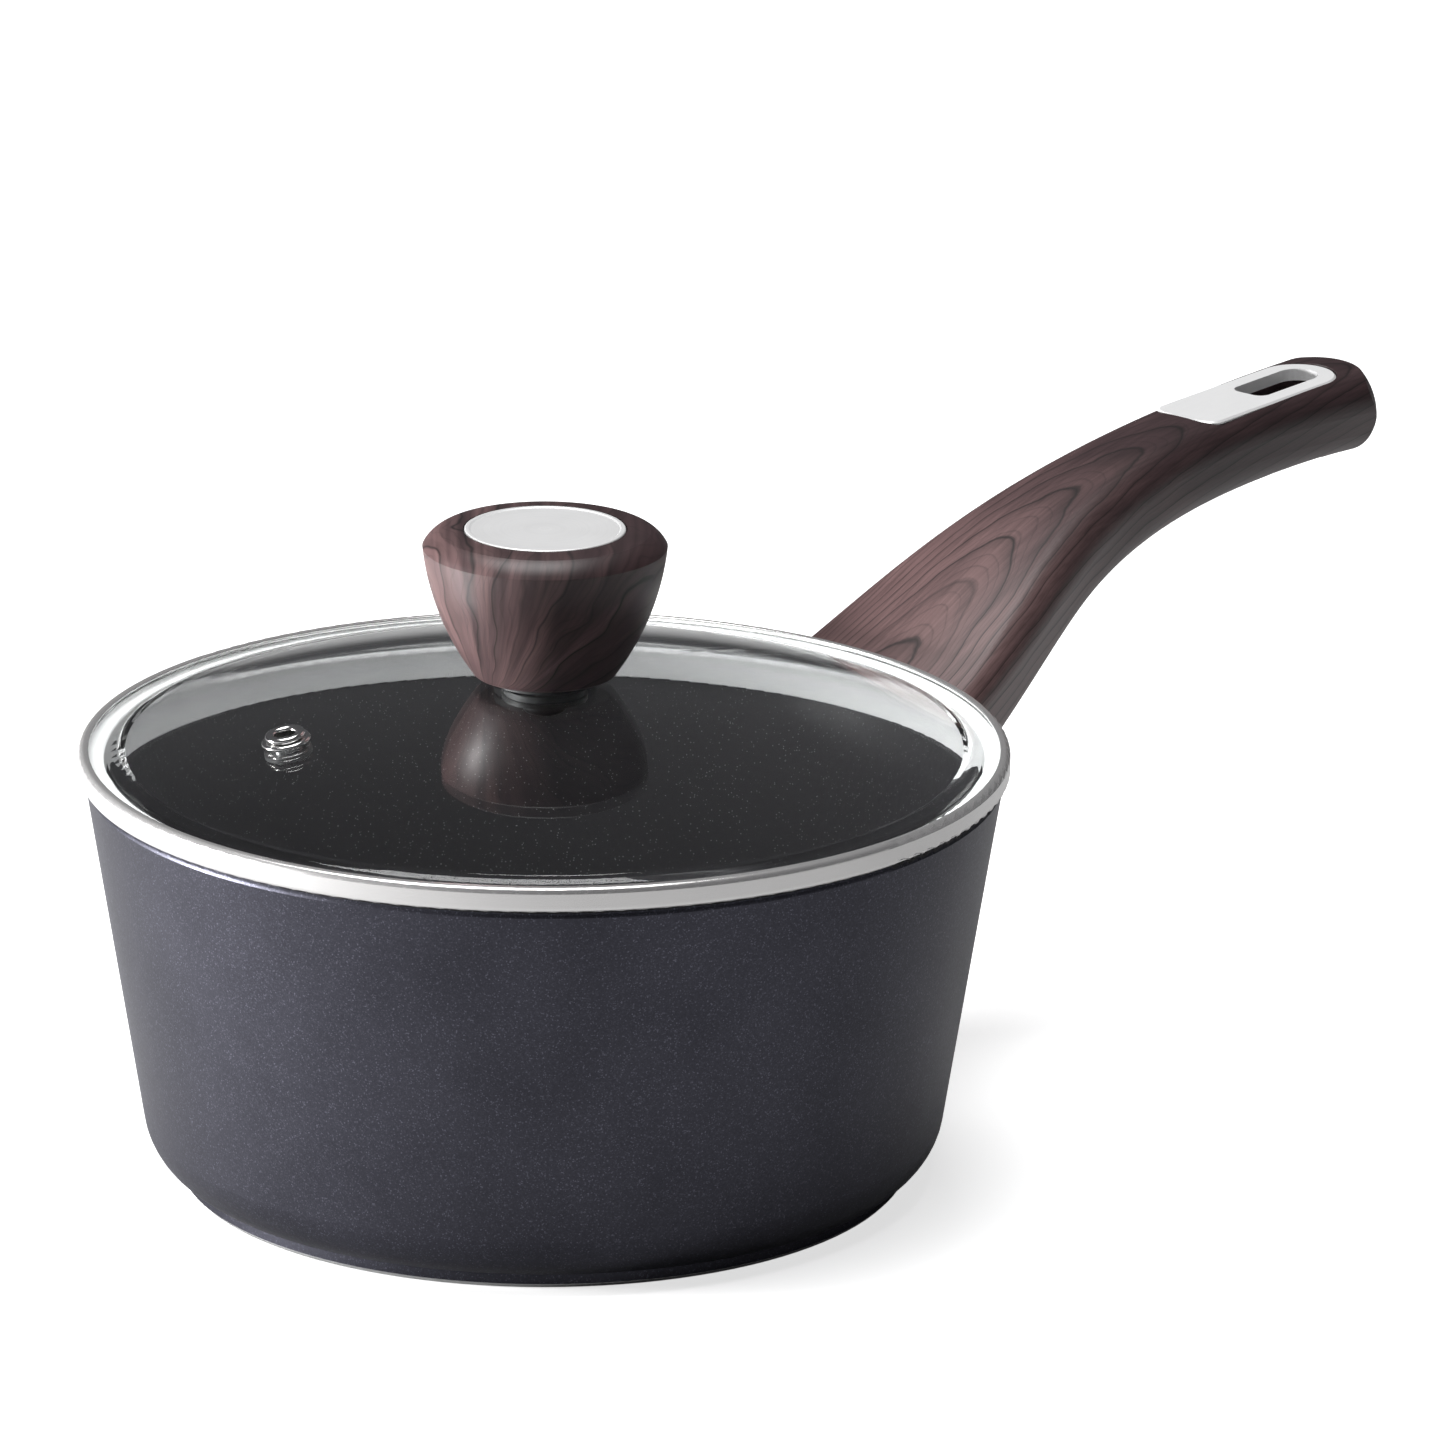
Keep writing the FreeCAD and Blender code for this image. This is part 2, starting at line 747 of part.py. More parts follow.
def make_heat_guard():
    """Black spacer that keeps the handle off the hot wall."""
    body = new_body("heat_guard")
    front = new_sketch(body, "guard_front", "YZ_Plane")
    front.setExpression("AttachmentOffset.Base.z", "dims.guard_start")
    half = "dims.guard_half_width"
    high = "dims.guard_top_corner"
    low = "dims.guard_corner"
    foot = "(%s - dims.guard_taper)" % half
    outline(front, [
        ("-%s" % half, "dims.guard_top - %s" % high, high, "right"),
        ("%s - %s" % (high, half), "dims.guard_top"),
        ("%s - %s" % (half, high), "dims.guard_top", high, "right"),
        (half, "dims.guard_top - %s" % high),
        (foot, "dims.guard_bottom + %s" % low, low, "right"),
        ("%s - %s" % (foot, low), "dims.guard_bottom"),
        ("%s - %s" % (low, foot), "dims.guard_bottom", low, "right"),
        ("-" + foot, "dims.guard_bottom + %s" % low),
    ])
    pad(body, "guard_block", front, "dims.guard_block")
    cut_turned(body, "wall_side", within_wall("-dims.guard_gap"))
    handle_side = "dims.guard_gap - dims.root_gap"
    cut_turned(body, "handle_side", [
        (wall_radius("0", handle_side), "0"),
        ("dims.trim_reach", "0"),
        ("dims.trim_reach", "dims.trim_top"),
        (wall_radius("dims.trim_top", handle_side), "dims.trim_top"),
    ])
    window = new_sketch(body, "window_side", "XZ_Plane")
    outline(window, boss_corners("dims.fit_gap"))
    pocket(body, "window", window, "2 * (dims.boss_half_width + dims.fit_gap)", True)
    return body


def fillet_corner(across, up, radius, into, out_of):
    """Two corners that replace a right-angled one by an arc."""
    first = ("%s - (%s) * (%s)" % (across, into[0], radius),
             "%s - (%s) * (%s)" % (up, into[1], radius), radius, "left")
    second = ("%s + (%s) * (%s)" % (across, out_of[0], radius),
              "%s + (%s) * (%s)" % (up, out_of[1], radius))
    return [first, second]


def bullet(start, length, half, corner):
    """Outline with a square near end, slightly rounded, and a round far end."""
    end = "(%s + %s - %s)" % (start, length, half)
    corners = fillet_corner(start, "-" + half, corner, (0, -1), (1, 0))
    corners += [(end, "-" + half, half, "left"), (end + " + " + half, "0", half, "left")]
    corners += [(end, half)]
    corners += fillet_corner(start, half, corner, (-1, 0), (0, -1))
    return corners


def plate_outline(sketch, grow):
    outline(sketch, bullet(
        "(0 - %s)" % grow,
        "(dims.plate_length + 2 * %s)" % grow,
        "(dims.plate_half_width + %s)" % grow,
        "(dims.plate_corner + %s)" % grow,
    ))


def slot_outline(sketch, shrink):
    outline(sketch, bullet(
        "(dims.slot_start + (%s))" % shrink,
        "(dims.slot_length - 2 * (%s))" % shrink,
        "(dims.slot_half_width - (%s))" % shrink,
        "(dims.slot_corner - (%s))" % shrink,
    ))


def highest_face(shape):
    """Name of the flat face whose middle is highest."""
    heights = [face.CenterOfMass.z for face in shape.Faces]
    return "Face%d" % (heights.index(max(heights)) + 1)


def make_handle_insert():
    """Metal inlay: a plate flush with the handle's top, with a lip round the slot."""
    body = new_body("handle_insert")
    plate = new_sketch(body, "plate_outline", "XY_Plane")
    plate_frame(plate, "dims.plate_lift - dims.plate_thickness")
    plate_outline(plate, "0")
    slot_outline(plate, "0")
    top = pad(body, "plate", plate, "dims.plate_thickness")
    bevel = body.newObject("PartDesign::Chamfer", "plate_edge")
    bevel.Base = (top, [highest_face(top.Shape)])
    bevel.setExpression("Size", "dims.plate_chamfer")
    doc.recompute()
    lip = new_sketch(body, "lip_outline", "XY_Plane")
    plate_frame(lip, "dims.plate_lift - dims.plate_thickness")
    slot_outline(lip, "-dims.slot_lip")
    slot_outline(lip, "0")
    pad(body, "lip", lip, "dims.slot_lip_depth", False, True)
    return body


def spun_on_tongue(name, corners):
    """A turned piece whose axis is the handle screw's."""
    body = new_body(name)
    revolve(body, name + "_turned", corners)
    body.Placement = FreeCAD.Placement(
        FreeCAD.Vector(0, 0, 0), FreeCAD.Rotation(FreeCAD.Vector(0, 1, 0), 10)
    )
    body.setExpression(
        "Placement.Base.x",
        "dims.tongue_along + dims.screw_along * cos(dims.tongue_tilt * 1deg)",
    )
    body.setExpression(
        "Placement.Base.z",
        "dims.tongue_up + dims.screw_along * sin(dims.tongue_tilt * 1deg)",
    )
    body.setExpression("Placement.Rotation.Angle", "-1deg * dims.tongue_tilt")
    doc.recompute()
    return body


def make_handle_screw():
    """Machine screw with a cross recess, its head in the well below."""
    washers = "(dims.grip_washer_thickness + dims.spring_washer_thickness)"
    under = "(0 - dims.screw_seat - %s - 2 * dims.stack_gap)" % washers
    head_low = "(%s - dims.screw_head_height)" % under
    edge = "dims.screw_edge"
    body = spun_on_tongue("handle_screw", [
        ("0", head_low),
        ("dims.screw_head - %s" % edge, head_low, edge, "left"),
        ("dims.screw_head", "%s + %s" % (head_low, edge)),
        ("dims.screw_head", under),
        ("dims.screw_shank", under),
        ("dims.screw_shank", "dims.tongue_half_thickness - dims.screw_point"),
        ("dims.screw_shank - dims.screw_point", "dims.tongue_half_thickness"),
        ("0", "dims.tongue_half_thickness"),
    ])
    cross_recess(body, head_low, "dims.screw_recess_length", "dims.screw_recess_width")
    return body


def rectangle(sketch, low_x, low_y, high_x, high_y):
    outline(sketch, [(low_x, low_y), (high_x, low_y), (high_x, high_y), (low_x, high_y)])


def cross_recess(body, level, length, width):
    """Two crossed slots for a driver in the underside of a screw head."""
    for index, (long_x, long_y) in enumerate(((length, width), (width, length))):
        sketch = new_sketch(body, "recess_%d" % index, "XY_Plane")
        sketch.setExpression("AttachmentOffset.Base.z", level)
        rectangle(sketch, "-%s / 2" % long_x, "-%s / 2" % long_y,
                  "%s / 2" % long_x, "%s / 2" % long_y)
        pocket(body, "recess_cut_%d" % index, sketch, "dims.recess_depth", False, True)


def washer_corners(bore, radius, low, high):
    """Section of a flat ring."""
    return [(bore, low), (radius, low), (radius, high), (bore, high)]


def make_handle_washers():
    """Plain washer on the well's seat, and a split spring washer under the head."""
    bore = "(dims.screw_shank + dims.washer_gap)"
    plain_top = "(0 - dims.screw_seat - dims.stack_gap)"
    plain_low = "(%s - dims.grip_washer_thickness + dims.face_gap)" % plain_top
    spring_top = "(%s - dims.grip_washer_thickness)" % plain_top
    spring_low = "(%s - dims.spring_washer_thickness + dims.face_gap)" % spring_top
    plain = spun_on_tongue("handle_washer", washer_corners(
        bore, "dims.grip_washer_radius", plain_low, plain_top
    ))
    spring = spun_on_tongue("handle_spring_washer", washer_corners(
        bore, "dims.spring_washer_radius", spring_low, spring_top
    ))
    split = new_sketch(spring, "split_outline", "XY_Plane")
    rectangle(split, "0", "-dims.split_half_gap", "2 * dims.screw_shank", "dims.split_half_gap")
    pocket(spring, "split", split, "dims.screw_reach", True)
    return plain, spring


# ---------------------------------------------------------------- lid

def make_glass_dome():
    """Tempered dome with a flat edge, a hole for the knob's screw and one for the vent."""
    body = new_body("glass_dome")
    under = "dims.glass_thickness"
    top_edge = "(dims.glass_edge_bottom + dims.glass_thickness)"
    round_off = "dims.glass_edge_round"
    bend_inside = "dims.dome_start - dims.dome_bend_inside"
    under_inside = "dims.dome_start - dims.under_bend_inside"
    revolve(body, "glass_turned", [
        ("dims.glass_radius - %s" % round_off, "dims.glass_edge_bottom", round_off, "left"),
        ("dims.glass_radius", "dims.glass_edge_bottom + %s" % round_off),
        ("dims.glass_radius", "%s - %s" % (top_edge, round_off), round_off, "left"),
        ("dims.glass_radius - %s" % round_off, top_edge),
        ("dims.dome_start + dims.dome_bend_outside", top_edge, "dims.dome_bend", "right"),
        (bend_inside, dome_height(bend_inside), "dims.dome_radius", "left"),
        ("dims.knob_hole", dome_height("dims.knob_hole")),
        ("dims.knob_hole", dome_height("dims.knob_hole", under),
         "dims.dome_radius - dims.glass_thickness", "right"),
        (under_inside, dome_height(under_inside, under), "dims.dome_bend", "left"),
        ("dims.dome_start + dims.under_bend_outside", "dims.glass_edge_bottom"),
    ])
    hole = new_sketch(body, "vent_hole_outline", "XY_Plane")
    hole.AttachmentOffset = vent_placement()
    circle(hole, "0", "0", "dims.vent_hole")
    pocket(body, "vent_hole_cut", hole, "4 * dims.glass_thickness", True)
    return body


def vent_placement():
    """Frame on the dome's outside at the vent, with Z square to the glass."""
    distance = number("dims.vent_distance")
    azimuth = math.radians(number("dims.vent_azimuth"))
    lean = math.asin(distance / number("dims.dome_radius"))
    height = number(dome_height("dims.vent_distance"))
    out = FreeCAD.Vector(math.cos(azimuth), math.sin(azimuth), 0)
    axis = FreeCAD.Vector(-math.sin(azimuth), math.cos(azimuth), 0)
    place = out * distance + FreeCAD.Vector(0, 0, height)
    return FreeCAD.Placement(place, FreeCAD.Rotation(axis, math.degrees(lean)))


def vent_piece(name, corners):
    body = new_body(name)
    revolve(body, name + "_turned", corners)
    body.Placement = vent_placement()
    doc.recompute()
    return body


def make_vent():
    """Rolled eyelet through the glass, with a washer above and a soft ring below."""
    roll = "(dims.eyelet_height - dims.vent_washer_height - dims.vent_fit)"
    under = "(0 - dims.glass_thickness - dims.vent_fit)"
    foot = "(%s - dims.vent_gasket_thickness - dims.vent_fit / 2)" % under
    foot_low = foot + " - dims.eyelet_foot"
    foot_out = "dims.eyelet_flange - dims.eyelet_foot_inset"
    washer_top = "(dims.vent_washer_height + dims.vent_fit)"
    roll_low = "(%s + dims.vent_fit / 2)" % washer_top
    roll_in = "dims.eyelet_flange - %s / 2" % roll
    lip = "dims.eyelet_lip"
    eyelet = vent_piece("vent_eyelet", [
        ("dims.eyelet_bore", foot_low),
        (foot_out, foot_low),
        (foot_out, foot),
        ("dims.eyelet_tube", foot),
        ("dims.eyelet_tube", roll_low),
        (roll_in, roll_low, roll + " / 2", "left"),
        ("dims.eyelet_flange", "%s + %s / 2" % (roll_low, roll), roll + " / 2", "left"),
        (roll_in, "%s + %s" % (roll_low, roll)),
        ("dims.eyelet_bore + %s" % lip, "%s + %s" % (roll_low, roll), lip, "left"),
        ("dims.eyelet_bore", "%s + %s - %s" % (roll_low, roll, lip)),
    ])
    half = "(dims.vent_washer_height / 2)"
    bore = "dims.eyelet_tube + dims.vent_fit"
    washer_in = "dims.vent_washer_radius - %s" % half
    washer = vent_piece("vent_washer", [
        (bore, "dims.vent_fit"),
        (washer_in, "dims.vent_fit", half, "left"),
        ("dims.vent_washer_radius", "dims.vent_fit + " + half, half, "left"),
        (washer_in, washer_top),
        (bore, washer_top),
    ])
    gasket = vent_piece("vent_gasket", washer_corners(
        bore, "dims.vent_washer_radius - dims.eyelet_foot_inset",
        "%s - dims.vent_gasket_thickness" % under, under
    ))
    return eyelet, washer, gasket


def make_rim_band():
    """Rolled steel band: a top roll over the glass, a seat, and a skirt inside the pan."""
    body = new_body("rim_band")
    sheet_metal = "dims.band_sheet"
    roll = "dims.band_top_roll"
    seat = "dims.band_seat_height"
    corner = "dims.band_corner"
    bend = "dims.skirt_bend"
    hem = "dims.skirt_hem"
    lip = "dims.band_top_inner + %s" % hem
    revolve(body, "band_turned", [
        # outside, from the skirt's foot up to the top roll
        ("dims.skirt_radius - %s" % sheet_metal, "dims.skirt_bottom + %s" % hem, hem, "left"),
        ("dims.skirt_radius", "dims.skirt_bottom + %s" % hem),
        ("dims.skirt_radius", "%s - %s" % (seat, bend), bend, "right"),
        ("dims.skirt_radius + %s" % bend, seat),
        ("dims.band_radius - %s" % corner, seat, corner, "left"),
        ("dims.band_radius", "%s + %s" % (seat, corner)),
        ("dims.band_radius", "dims.band_top - %s" % roll, roll, "left"),
        ("dims.band_radius - %s" % roll, "dims.band_top"),
        (lip, "dims.band_top", hem, "left"),
        (lip, "dims.band_top - %s" % sheet_metal),
        # inside, back down round the glass edge
        ("dims.band_radius - %s" % roll, "dims.band_top - %s" % sheet_metal,
         "%s - %s" % (roll, sheet_metal), "right"),
        ("dims.band_radius - %s" % sheet_metal, "dims.band_top - %s" % roll),
        ("dims.band_radius - %s" % sheet_metal, "%s + %s" % (seat, corner),
         "%s - %s" % (corner, sheet_metal), "right"),
        ("dims.band_radius - %s" % corner, "%s + %s" % (seat, sheet_metal)),
        ("dims.skirt_radius + %s" % bend, "%s + %s" % (seat, sheet_metal),
         "%s + %s" % (bend, sheet_metal), "left"),
        ("dims.skirt_radius - %s" % sheet_metal, "%s - %s" % (seat, bend)),
    ])
    return body


def make_rim_seal():
    """Thin bead that beds the glass edge in the band."""
    body = new_body("rim_seal")
    inset = "(dims.glass_edge_round + dims.seal_inset)"
    low = "dims.glass_edge_bottom + %s" % inset
    high = "dims.glass_edge_bottom + dims.glass_thickness - %s" % inset
    revolve(body, "seal_turned", washer_corners(
        "dims.glass_radius + dims.seal_gap", "dims.glass_radius + dims.seal_thickness", low, high
    ))
    return body


def make_knob_body():
    """Turned knob: domed top round the inlaid disc, round shoulder, sides drawn in to the foot."""
    body = new_body("knob_body")
    bush = "dims.bush_radius + dims.knob_fit"
    bush_top = "dims.bush_top + dims.knob_fit"
    seat = "dims.knob_top + dims.cap_proud - dims.cap_thickness - dims.knob_fit"
    seat_radius = "dims.cap_radius + dims.cap_gap"
    revolve(body, "knob_turned", [
        (bush, "dims.knob_bottom"),
        ("dims.knob_foot_radius", "dims.knob_bottom", "dims.knob_foot_curve", "left"),
        ("dims.knob_heel_radius", "dims.knob_heel_height", "dims.knob_side_curve", "left"),
        ("dims.knob_radius", "dims.knob_shoulder", "dims.knob_shoulder_curve", "left"),
        ("dims.knob_rim_radius", "dims.knob_rim_height", "dims.knob_top_curve", "left"),
        (seat_radius, "dims.knob_top"),
        (seat_radius, seat),
        ("0", seat),
        ("0", bush_top),
        (bush, bush_top),
    ])
    return body


def make_knob_cap():
    """Metal disc in the knob's top, with a fine raised edge."""
    body = new_body("knob_cap")
    low = "(dims.knob_top + dims.cap_proud - dims.cap_thickness)"
    high = "(dims.knob_top + dims.cap_proud)"
    edge = "dims.cap_edge"
    sunk = "%s - dims.cap_sunk" % high
    revolve(body, "cap_turned", [
        ("0", low),
        ("dims.cap_radius", low),
        ("dims.cap_radius", "%s - %s" % (high, edge), edge, "left"),
        ("dims.cap_radius - %s" % edge, high),
        ("dims.cap_radius - dims.cap_rim", high),
        ("dims.cap_radius - dims.cap_rim - %s" % edge, sunk),
        ("0", sunk),
    ])
    return body


def make_knob_fastening():
    """Threaded bush in the knob, and what clamps the glass from inside."""
    bush = new_body("knob_bush")
    revolve(bush, "bush_turned", washer_corners(
        "dims.knob_screw_radius + dims.thread_gap", "dims.bush_radius",
        "dims.knob_bottom", "dims.bush_top"
    ))

    bore = "dims.knob_screw_radius + dims.clamp_bore_gap"
    seat = new_body("knob_seat")
    revolve(seat, "seat_turned", washer_corners(
        bore, "dims.seat_radius",
        "dims.dome_top + dims.face_gap", "dims.knob_bottom - dims.face_gap"
    ))

    glass_under = "(dims.dome_top - dims.glass_thickness - dims.clamp_gap)"
    gasket_under = "(%s - dims.gasket_thickness)" % glass_under
    washer_top = "(%s - dims.face_gap)" % gasket_under
    washer_under = "(%s - dims.washer_thickness)" % washer_top
    head_top = "(%s - dims.face_gap)" % washer_under
    gasket = new_body("knob_gasket")
    revolve(gasket, "gasket_turned", washer_corners(
        bore, "dims.washer_radius - dims.gasket_inset", gasket_under, glass_under
    ))

    washer = new_body("knob_washer")
    revolve(washer, "washer_turned", washer_corners(
        "dims.knob_screw_radius + dims.washer_gap", "dims.washer_radius",
        washer_under, washer_top
    ))

    screw = new_body("knob_screw")
    head_low = "(%s - dims.knob_screw_head_height)" % head_top
    round_off = "dims.knob_screw_round"
    revolve(screw, "screw_turned", [
        ("0", head_low),
        ("dims.knob_screw_head - %s" % round_off, head_low, "dims.knob_screw_arc", "left"),
        ("dims.knob_screw_head", "%s + %s" % (head_low, round_off)),
        ("dims.knob_screw_head", head_top),
        ("dims.knob_screw_radius", head_top),
        ("dims.knob_screw_radius", "dims.knob_screw_top - dims.screw_point"),
        ("dims.knob_screw_radius - dims.screw_point", "dims.knob_screw_top"),
        ("0", "dims.knob_screw_top"),
    ])
    cross_recess(screw, head_low, "dims.knob_recess_length", "dims.knob_recess_width")
    return bush, seat, gasket, washer, screw


# ---------------------------------------------------------------- build, check and write

def build():
    pieces = [
        make_pan_shell(),
        make_induction_disc(),
        make_handle_bracket(),
        make_heat_guard(),
        make_handle_grip(),
        make_handle_insert(),
        make_handle_screw(),
        make_glass_dome(),
        make_rim_band(),
        make_rim_seal(),
        make_knob_body(),
        make_knob_cap(),
    ]
    pieces += make_handle_washers()
    pieces += make_vent()
    pieces += make_knob_fastening()
    doc.recompute()
    return pieces


def check(pieces):
    for item in doc.Objects:
        if "Invalid" in item.State or "Error" in item.State:
            raise RuntimeError("%s is %s" % (item.Name, item.State))
    for piece in pieces:
        shape = piece.Shape
        if shape.isNull() or not shape.isValid() or not shape.Solids:
            raise RuntimeError("%s has no valid solid" % piece.Label)


def write(pieces):
    os.makedirs("parts", exist_ok=True)
    for piece in pieces:
        piece.Shape.exportStep("parts/%s.step" % piece.Label)
        box = piece.Shape.BoundBox
        print("%-22s %d solid, %10.1f mm3, z %.2f to %.2f" % (
            piece.Label, len(piece.Shape.Solids), piece.Shape.Volume, box.ZMin, box.ZMax))


pieces = build()
check(pieces)
write(pieces)
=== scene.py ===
import math

import bpy
from mathutils import Matrix, Vector


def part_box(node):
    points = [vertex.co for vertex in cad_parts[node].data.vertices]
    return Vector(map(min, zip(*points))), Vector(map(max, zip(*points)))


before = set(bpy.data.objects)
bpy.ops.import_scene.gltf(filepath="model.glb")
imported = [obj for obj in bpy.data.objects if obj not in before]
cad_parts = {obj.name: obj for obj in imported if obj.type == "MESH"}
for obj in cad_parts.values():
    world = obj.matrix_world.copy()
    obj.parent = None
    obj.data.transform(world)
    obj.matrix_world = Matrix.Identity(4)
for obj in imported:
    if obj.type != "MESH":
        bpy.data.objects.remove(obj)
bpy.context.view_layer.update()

# Saucepan with a glass lid. Metres; the origin is the centre of the base, and the handle runs along +X.
# The materials work in millimetres of the object's own frame.

TO_MM = 1000.0

# The camera stands to the handle's right, low, with a long lens. Its bearing is given with the
# handle turned away from the picture's right edge by HANDLE_TURN.
HANDLE_TURN = math.radians(47.5)
CAMERA_TILT = math.radians(18.79)
CAMERA_DISTANCE = 2.4
AIM_HEIGHT = 0.04
LENS = 267.14
SENSOR_WIDTH = 36.0
PAN, NOD, ROLL = (math.radians(a) for a in (0.95, -1.45, -0.09))


# ---------------------------------------------------------------- camera, lights and floor

def picture_axes():
    """Directions to the picture's right and into its depth, level with the floor."""
    turn = Matrix.Rotation(-HANDLE_TURN, 3, "Z")
    return turn @ Vector((1, 0, 0)), turn @ Vector((0, 1, 0))


RIGHT, DEEP = picture_axes()
UP = Vector((0, 0, 1))


def make_camera():
    """Long lens aimed at the axis, with small turns that place the object in the picture."""
    data = bpy.data.cameras.new("camera")
    data.lens = LENS
    data.sensor_width = SENSOR_WIDTH
    data.clip_end = 100.0
    camera = bpy.data.objects.new("camera", data)
    bpy.context.scene.collection.objects.link(camera)
    ahead = DEEP * math.cos(CAMERA_TILT) - UP * math.sin(CAMERA_TILT)
    above = RIGHT.cross(ahead)
    straight = Matrix((RIGHT, above, -ahead))
    small_turns = (
        Matrix.Rotation(ROLL, 3, "Z") @ Matrix.Rotation(NOD, 3, "X") @ Matrix.Rotation(PAN, 3, "Y")
    )
    turned = (small_turns @ straight).transposed()
    camera.location = UP * AIM_HEIGHT - ahead * CAMERA_DISTANCE
    camera.rotation_mode = "QUATERNION"
    camera.rotation_quaternion = turned.to_quaternion()
    bpy.context.scene.camera = camera


def place(right, deep, up):
    """A point given by its distances along the picture's right, its depth and up."""
    return RIGHT * right + DEEP * deep + UP * up


def make_light(name, position, target, width, height, power):
    data = bpy.data.lights.new(name, "AREA")
    data.shape = "RECTANGLE"
    data.size = width
    data.size_y = height
    data.energy = power
    light = bpy.data.objects.new(name, data)
    light.location = position
    light.rotation_mode = "QUATERNION"
    light.rotation_quaternion = (target - position).to_track_quat("-Z", "Y")
    light.visible_camera = False
    bpy.context.scene.collection.objects.link(light)


def make_lights():
    """A soft light overhead, and a small low one that grazes the wall from the picture's left."""
    centre = place(0, 0, 0.07)
    make_light("overhead", place(-0.2, -0.02, 1.7), centre, 1.15, 1.15, 30)
    make_light("left_box", place(-1.08, -0.08, 0.12), centre, 0.3, 0.24, 30)


def make_world():
    """White behind the object, and a dim grey room in its reflections."""
    world = bpy.data.worlds.new("studio")
    world.use_nodes = True
    bpy.context.scene.world = world
    tree = world.node_tree
    background = tree.nodes["Background"]
    background.inputs["Strength"].default_value = 1.0
    rays = tree.nodes.new("ShaderNodeLightPath")
    shade = mix_colour(tree, rays.outputs["Is Camera Ray"], (0.08, 0.08, 0.084), (1, 1, 1))
    tree.links.new(shade, background.inputs["Color"])


FLOOR_REACH = 8.0
FLOOR_DROP = 0.0002    # just under the base, so that the two faces don't coincide
FLOOR_LIFT = 0.68      # keeps the floor's soft shadows pale, as on a lit studio sweep


def make_floor():
    """Pale floor that looks white, yet throws a moderate light back on the object."""
    reach, low = FLOOR_REACH, -FLOOR_DROP
    corners = [(-reach, -reach, low), (reach, -reach, low), (reach, reach, low), (-reach, reach, low)]
    mesh = bpy.data.meshes.new("floor")
    mesh.from_pydata(corners, [], [(0, 1, 2, 3)])
    floor = bpy.data.objects.new("floor", mesh)
    bpy.context.scene.collection.objects.link(floor)
    look, tree, shader = new_material("floor_white")
    grain = noise(tree, object_mm(tree), 0.02, 3)
    white = ramp(tree, grain, [(0.3, (0.90, 0.90, 0.90)), (0.7, (0.93, 0.93, 0.93))])
    rays = tree.nodes.new("ShaderNodeLightPath")
    bounced = ramp(tree, grain, [(0.3, (0.56, 0.56, 0.56)), (0.7, (0.60, 0.60, 0.60))])
    shade = mix_colour(tree, rays.outputs["Is Camera Ray"], bounced, white)
    tree.links.new(shade, shader.inputs["Base Color"])
    shader.inputs["Roughness"].default_value = 0.9
    shader.inputs["Specular IOR Level"].default_value = 0.1
    shader.inputs["Emission Color"].default_value = (1, 1, 1, 1)
    tree.links.new(maths(tree, "MULTIPLY", rays.outputs["Is Camera Ray"], FLOOR_LIFT),
                   shader.inputs["Emission Strength"])
    mesh.materials.append(look)


# ---------------------------------------------------------------- node helpers

def new_material(name):
    look = bpy.data.materials.new(name)
    look.use_nodes = True
    return look, look.node_tree, look.node_tree.nodes["Principled BSDF"]


def feed(tree, socket, value):
    """Link a socket's value, or set it if it is a plain number or colour."""
    if isinstance(value, bpy.types.NodeSocket):
        tree.links.new(value, socket)
    elif isinstance(value, (tuple, list)) and socket.type == "RGBA" and len(value) == 3:
        socket.default_value = (*value, 1.0)
    else:
        socket.default_value = value


def object_mm(tree):
    """Place on the object in its own frame, in millimetres."""
    coordinates = tree.nodes.new("ShaderNodeTexCoord")
    return vector_op(tree, "MULTIPLY", coordinates.outputs["Object"], (TO_MM,) * 3)


def object_normal(tree):
    return tree.nodes.new("ShaderNodeTexCoord").outputs["Normal"]


def vector_op(tree, operation, first, second):
    node = tree.nodes.new("ShaderNodeVectorMath")
    node.operation = operation
    feed(tree, node.inputs[0], first)
    feed(tree, node.inputs[1], second)
    return node.outputs["Value" if operation == "DOT_PRODUCT" else "Vector"]


def maths(tree, operation, first, second=0.0, third=0.0):
    node = tree.nodes.new("ShaderNodeMath")
    node.operation = operation
    for socket, value in zip(node.inputs, (first, second, third)):
        feed(tree, socket, value)
    return node.outputs[0]


def split(tree, vector):
    node = tree.nodes.new("ShaderNodeSeparateXYZ")
    tree.links.new(vector, node.inputs[0])
    return node.outputs


def join(tree, *parts):
    node = tree.nodes.new("ShaderNodeCombineXYZ")
    for socket, value in zip(node.inputs, parts):
        feed(tree, socket, value)
    return node.outputs[0]


def noise(tree, vector, scale, detail=2.0, roughness=0.5):
    """Smooth noise from 0 to 1, about 0.5; scale is in waves per millimetre."""
    node = tree.nodes.new("ShaderNodeTexNoise")
    tree.links.new(vector, node.inputs["Vector"])
    node.inputs["Scale"].default_value = scale
    node.inputs["Detail"].default_value = detail
    node.inputs["Roughness"].default_value = roughness
    return node.outputs["Fac"]


def cells(tree, vector, scale, output="Distance"):
    node = tree.nodes.new("ShaderNodeTexVoronoi")
    tree.links.new(vector, node.inputs["Vector"])
    node.inputs["Scale"].default_value = scale
    return node.outputs[output]


def ramp(tree, factor, stops):
    """A colour, or a grey if the stops hold numbers, by where the factor lies."""
    node = tree.nodes.new("ShaderNodeValToRGB")
    tree.links.new(factor, node.inputs[0])
    scale = node.color_ramp
    while len(scale.elements) < len(stops):
        scale.elements.new(0.5)
    for element, (position, value) in zip(scale.elements, stops):
        element.position = position
        colour = value if isinstance(value, tuple) else (value,) * 3
        element.color = (*colour, 1.0)
    return node.outputs["Color"]


def mix_colour(tree, factor, first, second, blend="MIX"):
    node = tree.nodes.new("ShaderNodeMix")
    node.data_type = "RGBA"
    node.blend_type = blend
    feed(tree, node.inputs["Factor"], factor)
    feed(tree, node.inputs[6], first)
    feed(tree, node.inputs[7], second)
    return node.outputs[2]


